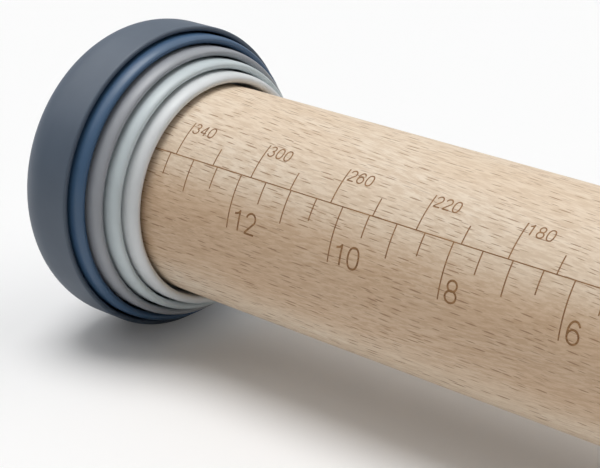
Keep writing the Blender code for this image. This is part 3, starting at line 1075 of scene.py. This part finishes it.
class ROLLING_PIN_OT_knobs(PinStep, bpy.types.Operator):
    """Make the knobs that screw the discs on"""

    bl_idname = "rolling_pin.knobs"
    bl_label = "Knobs"

    def execute(self, context):
        make_at_ends("knob", "knob", "slate_plastic", knob_outline, KNOB_FINENESS, knob_rule)
        return {"FINISHED"}


class ROLLING_PIN_OT_caps(PinStep, bpy.types.Operator):
    """Make the caps that cover the studs' heads"""

    bl_idname = "rolling_pin.caps"
    bl_label = "Knob caps"

    def execute(self, context):
        make_at_ends("knob_cap", "knob", "slate_plastic", cap_outline, SMALL_FINENESS, wraps=False)
        return {"FINISHED"}


# Azimuth from +X towards +Y, elevation and spread of each lamp, in degrees
LAMPS = {"top": (180, 78, 36), "left": (200, 50, 50), "right": (45, 48, 60)}

# The white room in reflections: its brightness at the floor's level and, from this rise on, above
ROOM_LOW = 0.15
ROOM_HIGH = 1.1
ROOM_RISE = 0.7


def add_aimed(name, data, axis, bearing, rise):
    """Adds an object whose axis points the way that the cosines and sines of a bearing and a rise give."""
    flat = math.cos(rise)
    towards = Vector((flat * math.cos(bearing), flat * math.sin(bearing), math.sin(rise)))
    made = add_object(name, data)
    made.rotation_euler = towards.to_track_quat(axis, "Y").to_euler()
    return made


class ROLLING_PIN_OT_stage(PinStep, bpy.types.Operator):
    """Make the floor, the camera, the lamps and the even light"""

    bl_idname = "rolling_pin.stage"
    bl_label = "Stage"

    def execute(self, context):
        scene = context.scene
        stage = scene.pin_stage
        self.make_floor(stage, scene.pin_colours.paper)
        self.make_camera(scene, stage)
        self.make_sky(scene, stage)
        self.make_lamps(stage)
        scene.view_settings.view_transform = "Standard"
        return {"FINISHED"}

    def make_floor(self, stage, tint):
        """A flat square of matt paper, whose shadows a little white lightens for the camera."""
        half = stage.floor_side / 2
        corners = [(-half, -half, 0), (half, -half, 0), (half, half, 0), (-half, half, 0)]
        mesh = bpy.data.meshes.new("floor")
        mesh.from_pydata(corners, [], [(0, 1, 2, 3)])
        paper = Finish("paper_finish", 1.0)
        paper.set("Base Color", tint)
        paper.set("Specular IOR Level", 0.0)
        lit = Wire(paper, paper.shader.outputs["BSDF"])
        white = paper.node("Emission", {"Color": (1, 1, 1), "Strength": 1.0})
        share = paper.node("LightPath", output="Is Camera Ray") * stage.floor_white
        mixed = paper.node("MixShader", {0: share, 1: lit, 2: white})
        paper.feed(paper.tree.nodes["Material Output"].inputs["Surface"], mixed)
        mesh.materials.append(paper.material)
        floor = add_object("floor", mesh)

    def make_camera(self, scene, stage):
        """The camera, which looks along its yaw and down by its pitch."""
        lens = bpy.data.cameras.new("camera")
        lens.lens = stage.camera_lens
        lens.sensor_width = stage.camera_sensor
        scene.camera = add_aimed("camera", lens, "-Z", stage.camera_yaw, -stage.camera_pitch)
        scene.camera.location = stage.camera_place

    def make_lamps(self, stage):
        """The suns, each by its own direction and level."""
        for name, angles in LAMPS.items():
            azimuth, elevation, spread = map(math.radians, angles)
            lamp = bpy.data.lights.new(name + "_lamp", "SUN")
            lamp.energy = getattr(stage, name + "_level")
            lamp.angle = spread
            add_aimed(name + "_lamp", lamp, "Z", azimuth, elevation)

    def make_sky(self, scene, stage):
        """Even light on surfaces, white for the camera, and a white room in reflections."""
        world = bpy.data.worlds.new("sky")
        world.use_nodes = True
        sky = Nodes(world.node_tree)
        world.node_tree.nodes.clear()
        path = sky.node("LightPath", output="Is Camera Ray")
        seen = sky.math("MAXIMUM", path, path.output("Is Glossy Ray"))
        seen = sky.math("MAXIMUM", seen, path.output("Is Transmission Ray"))
        way = sky.node("TexCoord", output="Generated")
        rise = sky.node("SeparateXYZ", {0: way}, "Z")
        room = sky.node("MapRange", {0: rise, 1: 0.0, 2: ROOM_RISE, 3: ROOM_LOW, 4: ROOM_HIGH})
        room = sky.math("MAXIMUM", room, path)
        even = sky.node("Background", {"Color": (1, 1, 1), "Strength": stage.sky_level})
        white = sky.node("Background", {"Color": (1, 1, 1), "Strength": room})
        mixed = sky.node("MixShader", {0: seen, 1: even, 2: white})
        end = world.node_tree.nodes.new("ShaderNodeOutputWorld")
        sky.feed(end.inputs["Surface"], mixed)
        scene.world = world


class ROLLING_PIN_PT_panel(bpy.types.Panel):
    """Lists the steps that build the pin"""

    bl_idname = "ROLLING_PIN_PT_panel"
    bl_label = "Adjustable Rolling Pin"
    bl_space_type = "VIEW_3D"
    bl_region_type = "UI"
    bl_category = "Rolling Pin"

    def draw(self, context):
        for step in OPERATORS:
            self.layout.operator(step.bl_idname)


# The operators, in the order in which they stand above
OPERATORS = PinStep.__subclasses__()
GROUPS = {
    "pin_sizes": PinSizes,
    "pin_scale": ScaleSizes,
    "pin_colours": PinColours,
    "pin_stage": StageSettings,
}


def register():
    """Registers the classes and hangs the settings on the scene."""
    for kind in (*GROUPS.values(), *OPERATORS, ROLLING_PIN_PT_panel):
        bpy.utils.register_class(kind)
    for name, kind in GROUPS.items():
        setattr(bpy.types.Scene, name, PointerProperty(type=kind))


def unregister():
    """Takes the settings and the classes away."""
    for name in GROUPS:
        delattr(bpy.types.Scene, name)
    for kind in (ROLLING_PIN_PT_panel, *reversed(OPERATORS), *reversed(GROUPS.values())):
        bpy.utils.unregister_class(kind)


def main():
    """Builds the pin and its stage."""
    register()
    for step in OPERATORS:
        group, name = step.bl_idname.split(".")
        getattr(getattr(bpy.ops, group), name)()


if __name__ == "__main__":
    main()
